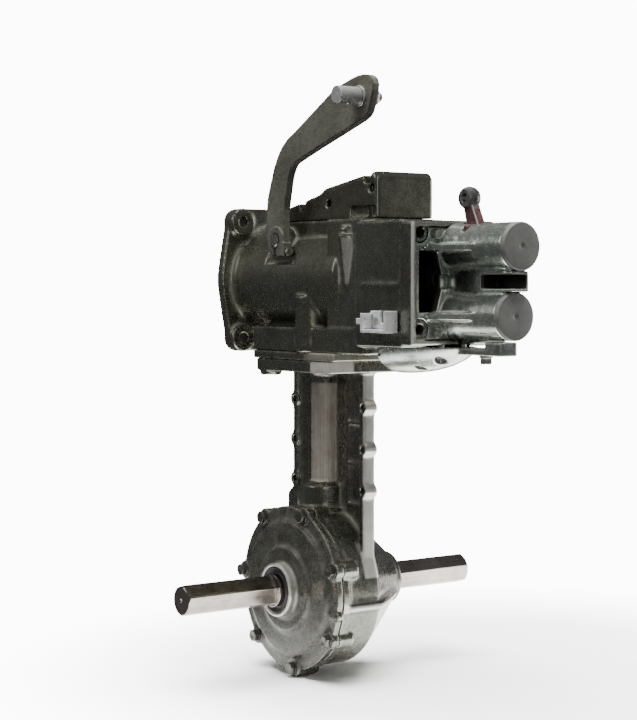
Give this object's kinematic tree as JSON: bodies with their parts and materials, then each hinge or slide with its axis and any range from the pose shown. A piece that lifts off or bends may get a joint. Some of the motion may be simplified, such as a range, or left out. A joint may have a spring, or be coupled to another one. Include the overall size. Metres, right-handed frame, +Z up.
{
  "type": "tiller gearbox",
  "caption": "Tiller gearbox: clutch bell and gear case with levers on top, ribbed drive column, round axle case with a hexagonal tine axle.",
  "frame": {"origin": "centre of the engine flange face, on the input shaft's axis", "axes": "+X to the rear along the input shaft, +Y along the tine axle, +Z up along the column"},
  "size_m": [0.352, 0.315, 0.5285],
  "materials": {
    "cast_dark": "dark olive-black painted casting, slight gloss",
    "cast_silver": "bare die-cast aluminium",
    "cap_steel": "grey turned steel",
    "zinc_plate": "bright zinc-plated sheet",
    "lever_steel": "olive-grey plated plate",
    "swivel_steel": "bright turned steel",
    "dark_bolts": "blackened screws",
    "bright_bolts": "zinc-plated screws",
    "axle_steel": "machined hexagon bar, warm brown sheen",
    "shift_steel": "turned steel",
    "gear_steel": "machined steel",
    "bearing_steel": "ground steel",
    "spring_steel": "spring wire",
    "clutch_iron": "turned iron",
    "friction_lining": "moulded friction material",
    "seal_rubber": "black rubber",
    "gasket_fibre": "compressed fibre"
  },
  "bodies": {
    "housing": {"clutch_bell": "cast_dark", "main_housing": "cast_dark", "flange_bolt": "bright_bolts", "top_cover": "cast_dark", "top_cover_bolts": "dark_bolts", "rear_carrier": "cast_silver", "rear_carrier_bolts": "bright_bolts", "upper_boss_cap": "cap_steel", "lower_boss_cap": "cap_steel", "cable_bracket": "zinc_plate", "cable_bracket_bolts": "bright_bolts", "bearing_plate": "cast_dark", "tow_bracket": "cast_silver", "tow_bracket_bolts": "bright_bolts", "column_housing": "cast_dark", "column_flange_bolts": "dark_bolts", "drain_plug": "dark_bolts", "lower_cover": "cast_dark", "lower_cover_bolts": "dark_bolts", "lower_gasket": "gasket_fibre", "input_bearing_front": "bearing_steel", "input_bearing_rear": "bearing_steel", "lower_bearing_front": "bearing_steel", "lower_bearing_rear": "bearing_steel", "column_bearing_top": "bearing_steel", "column_bearing_bottom": "bearing_steel", "axle_bearing_left": "bearing_steel", "axle_bearing_right": "bearing_steel", "axle_seal_left": "seal_rubber", "axle_seal_right": "seal_rubber", "input_seal": "seal_rubber", "idler_shaft": "gear_steel", "shift_pivot_pin": "shift_steel"},
    "input_shaft": {"input_shaft": "gear_steel", "input_pinion": "gear_steel", "reverse_pinion": "gear_steel", "spring_retainer": "gear_steel", "clutch_spring": "spring_steel"},
    "clutch_cone": {"clutch_cone": "clutch_iron", "clutch_lining": "friction_lining"},
    "release_collar": {"release_collar": "gear_steel"},
    "clutch_lever": {"clutch_lever": "lever_steel", "clutch_fork": "lever_steel", "fork_shaft": "gear_steel", "lever_clamp_bolt": "bright_bolts"},
    "cable_swivel": {"cable_swivel": "swivel_steel", "cable_swivel_nut": "swivel_steel"},
    "lower_shaft": {"lower_shaft": "gear_steel", "upper_bevel_pinion": "gear_steel"},
    "forward_gear": {"forward_gear": "gear_steel"},
    "reverse_gear": {"reverse_gear": "gear_steel"},
    "reverse_idler": {"reverse_idler": "gear_steel"},
    "dog_sleeve": {"dog_sleeve": "gear_steel"},
    "shift_rail": {"shift_rail": "shift_steel", "shift_fork": "shift_steel"},
    "shift_lever": {"shift_lever": "shift_steel"},
    "vertical_shaft": {"vertical_shaft": "gear_steel", "upper_bevel_gear": "gear_steel"},
    "axle": {"tine_axle": "axle_steel", "crown_wheel": "gear_steel"}
  },
  "joints": [
    {"name": "input_spin", "type": "hinge", "parent": "housing", "child": "input_shaft", "pos_m": [0.1, 0, 0], "axis": [1, 0, 0], "continuous": true},
    {"name": "lower_shaft_spin", "type": "hinge", "parent": "housing", "child": "lower_shaft", "pos_m": [0.2, 0, -0.03], "axis": [1, 0, 0], "continuous": true},
    {"name": "forward_gear_spin", "type": "hinge", "parent": "housing", "child": "forward_gear", "pos_m": [0.185, 0, -0.03], "axis": [1, 0, 0], "continuous": true},
    {"name": "reverse_gear_spin", "type": "hinge", "parent": "housing", "child": "reverse_gear", "pos_m": [0.142, 0, -0.03], "axis": [1, 0, 0], "continuous": true},
    {"name": "reverse_idler_spin", "type": "hinge", "parent": "housing", "child": "reverse_idler", "pos_m": [0.142, 0.02332, -0.01361], "axis": [1, 0, 0], "continuous": true},
    {"name": "column_shaft_spin", "type": "hinge", "parent": "housing", "child": "vertical_shaft", "pos_m": [0.088, 0, -0.13], "axis": [0, 0, 1], "continuous": true},
    {"name": "axle_spin", "type": "hinge", "parent": "housing", "child": "axle", "pos_m": [0.088, 0, -0.278], "axis": [0, 1, 0], "continuous": true},
    {"name": "clutch_lever_pivot", "type": "hinge", "parent": "housing", "child": "clutch_lever", "pos_m": [0.08, -0.046, 0.035], "axis": [0, 1, 0], "range_deg": [0, 8], "stiffness_Nm_per_rad": 25, "springref_deg": -5.73},
    {"name": "cable_swivel_turn", "type": "hinge", "parent": "clutch_lever", "child": "cable_swivel", "pos_m": [0.204, -0.046, 0.1535], "axis": [0, 1, 0], "range_deg": [-60, 60]},
    {"name": "clutch_cone_slide", "type": "slide", "parent": "input_shaft", "child": "clutch_cone", "axis": [1, 0, 0], "range_m": [-0.005, 0], "deforming": ["clutch_spring"]},
    {"name": "release_collar_slide", "type": "slide", "parent": "housing", "child": "release_collar", "axis": [1, 0, 0], "range_m": [-0.005, 0]},
    {"name": "shift_lever_pivot", "type": "hinge", "parent": "housing", "child": "shift_lever", "pos_m": [0.297, 0, 0.041], "axis": [0, 1, 0], "range_deg": [0, 36.8]},
    {"name": "shift_rail_slide", "type": "slide", "parent": "housing", "child": "shift_rail", "axis": [1, 0, 0], "range_m": [-0.00788, 0]},
    {"name": "dog_sleeve_slide", "type": "slide", "parent": "lower_shaft", "child": "dog_sleeve", "axis": [1, 0, 0], "range_m": [-0.00788, 0]}
  ],
  "couplings": [
    {"joint": "lower_shaft_spin", "follows": "input_spin", "ratio": -0.66667},
    {"joint": "forward_gear_spin", "follows": "input_spin", "ratio": -0.66667},
    {"joint": "reverse_gear_spin", "follows": "input_spin", "ratio": 0.88889},
    {"joint": "reverse_idler_spin", "follows": "input_spin", "ratio": -0.8},
    {"joint": "column_shaft_spin", "follows": "input_spin", "ratio": -0.43333},
    {"joint": "axle_spin", "follows": "input_spin", "ratio": -0.13241},
    {"joint": "clutch_cone_slide", "follows": "clutch_lever_pivot", "m_per_rad": -0.035},
    {"joint": "release_collar_slide", "follows": "clutch_lever_pivot", "m_per_rad": -0.035},
    {"joint": "shift_lever_pivot", "follows": "shift_rail_slide", "rad_per_m": -81.433},
    {"joint": "dog_sleeve_slide", "follows": "shift_rail_slide", "ratio": 1}
  ]
}
